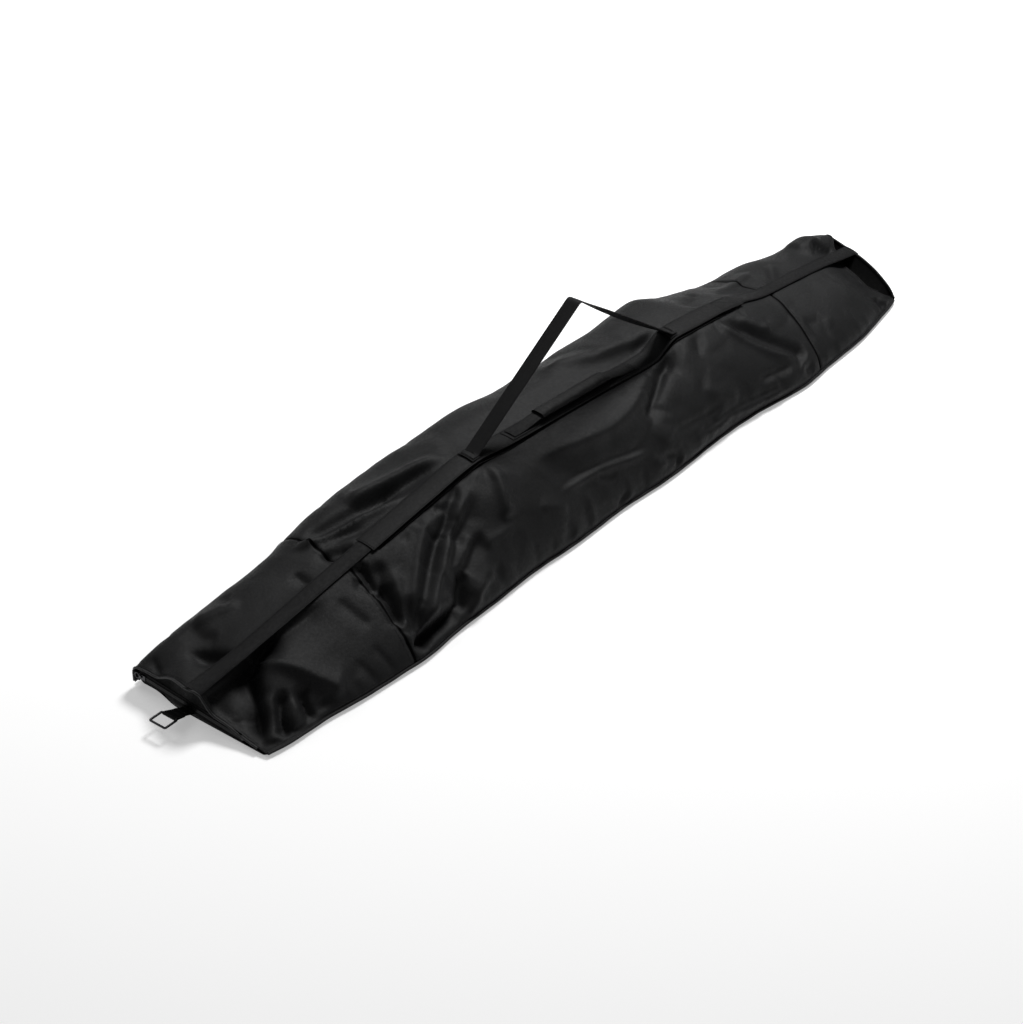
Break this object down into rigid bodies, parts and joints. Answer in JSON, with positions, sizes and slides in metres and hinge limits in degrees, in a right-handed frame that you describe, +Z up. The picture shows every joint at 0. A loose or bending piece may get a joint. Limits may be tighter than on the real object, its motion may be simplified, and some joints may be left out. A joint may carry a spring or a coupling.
{
  "type": "ski bag",
  "caption": "Long soft ski bag lying on its base, with a covered top zip, a zip across one end, a carry strap, a grab handle and a webbing tab with a metal loop.",
  "frame": {"origin": "centre of the footprint, on the surface that the bag lies on", "axes": "+X along the bag from the end with the metal loop to the closed toe end, +Y towards the left side, +Z up"},
  "size_m": [1.951, 0.3587, 0.3461],
  "materials": {
    "body_fabric": "matt plain-woven polyester, slightly crumpled",
    "placket_fabric": "matt plain-woven polyester strip with stitched edges",
    "sleeve_fabric": "folded plain-woven polyester",
    "binding_tape": "woven binding tape",
    "piping": "fabric-covered cord, satin",
    "webbing": "ribbed polypropylene webbing",
    "thread": "dense zigzag stitching",
    "zip_tape": "fine knitted zip tape",
    "zip_coil": "nylon coil",
    "zip_metal": "black painted die-cast metal",
    "puller": "black cord puller tag",
    "puller_ring": "dark plated wire ring",
    "loop_metal": "nickel-plated steel wire"
  },
  "bodies": {
    "bag": {"base_panel": "body_fabric", "near_end_band": "body_fabric", "near_end_hood": "body_fabric", "far_end_panel": "body_fabric", "left_panel_near": "body_fabric", "left_panel_mid": "body_fabric", "left_panel_far": "body_fabric", "right_panel_near": "body_fabric", "right_panel_mid": "body_fabric", "right_panel_far": "body_fabric", "near_seam_binding": "binding_tape", "far_seam_binding": "binding_tape", "left_piping": "piping", "right_piping": "piping", "near_lip_piping": "piping", "spine_webbing_near": "webbing", "spine_webbing_far": "webbing", "placket_near": "placket_fabric", "placket_mid": "placket_fabric", "placket_far": "placket_fabric", "strap_anchor_near": "webbing", "strap_anchor_far": "webbing", "bar_tacks": "thread", "grab_handle_base": "webbing", "main_zip_tape_left": "zip_tape", "main_zip_tape_right": "zip_tape", "main_zip_coil_left": "zip_coil", "main_zip_coil_right": "zip_coil", "main_zip_stops": "zip_metal", "end_zip_tape_upper": "zip_tape", "end_zip_tape_lower": "zip_tape", "end_zip_coil_upper": "zip_coil", "end_zip_coil_lower": "zip_coil", "end_zip_stops": "zip_metal"},
    "carry_strap": {"carry_strap": "webbing"},
    "grab_grip": {"grab_handle_webbing": "webbing", "grab_handle_sleeve": "sleeve_fabric"},
    "main_zip_slider": {"main_zip_slider": "zip_metal"},
    "main_zip_puller": {"main_zip_puller": "puller"},
    "end_zip_slider": {"end_zip_slider": "zip_metal"},
    "end_zip_ring": {"end_zip_ring": "puller_ring"},
    "end_tab": {"end_tab": "webbing"},
    "end_loop": {"end_loop": "loop_metal"}
  },
  "joints": [
    {"name": "carry_strap_swing", "type": "hinge", "parent": "bag", "child": "carry_strap", "pos_m": [-0.2345, 0, 0.177], "axis": [0.9996, 0, -0.0296], "range_deg": [-80, 95]},
    {"name": "grab_handle_lift", "type": "slide", "parent": "bag", "child": "grab_grip", "axis": [0, 0, 1], "range_m": [0, 0.012]},
    {"name": "main_zip_run", "type": "slide", "parent": "bag", "child": "main_zip_slider", "axis": [-0.9977, 0, 0.068], "range_m": [0, 0.394]},
    {"name": "main_zip_puller_turn", "type": "hinge", "parent": "main_zip_slider", "child": "main_zip_puller", "pos_m": [0.25526, -0.0125, 0.1247], "axis": [0.068, 0, 0.9977], "range_deg": [0, 70]},
    {"name": "end_zip_run", "type": "slide", "parent": "bag", "child": "end_zip_slider", "axis": [0, -0.9972, -0.075], "range_m": [0, 0.21]},
    {"name": "end_zip_ring_turn", "type": "hinge", "parent": "end_zip_slider", "child": "end_zip_ring", "pos_m": [-0.90855, 0.13301, 0.02763], "axis": [-1, 0, 0], "range_deg": [-30, 150]},
    {"name": "end_tab_fold", "type": "hinge", "parent": "bag", "child": "end_tab", "pos_m": [-0.9085, 0.03, 0.01], "axis": [0, 1, 0], "range_deg": [-10, 45]},
    {"name": "end_loop_swing", "type": "hinge", "parent": "end_tab", "child": "end_loop", "pos_m": [-0.94654, 0.03, 0.02236], "axis": [0, 1, 0], "range_deg": [-10, 70]}
  ]
}
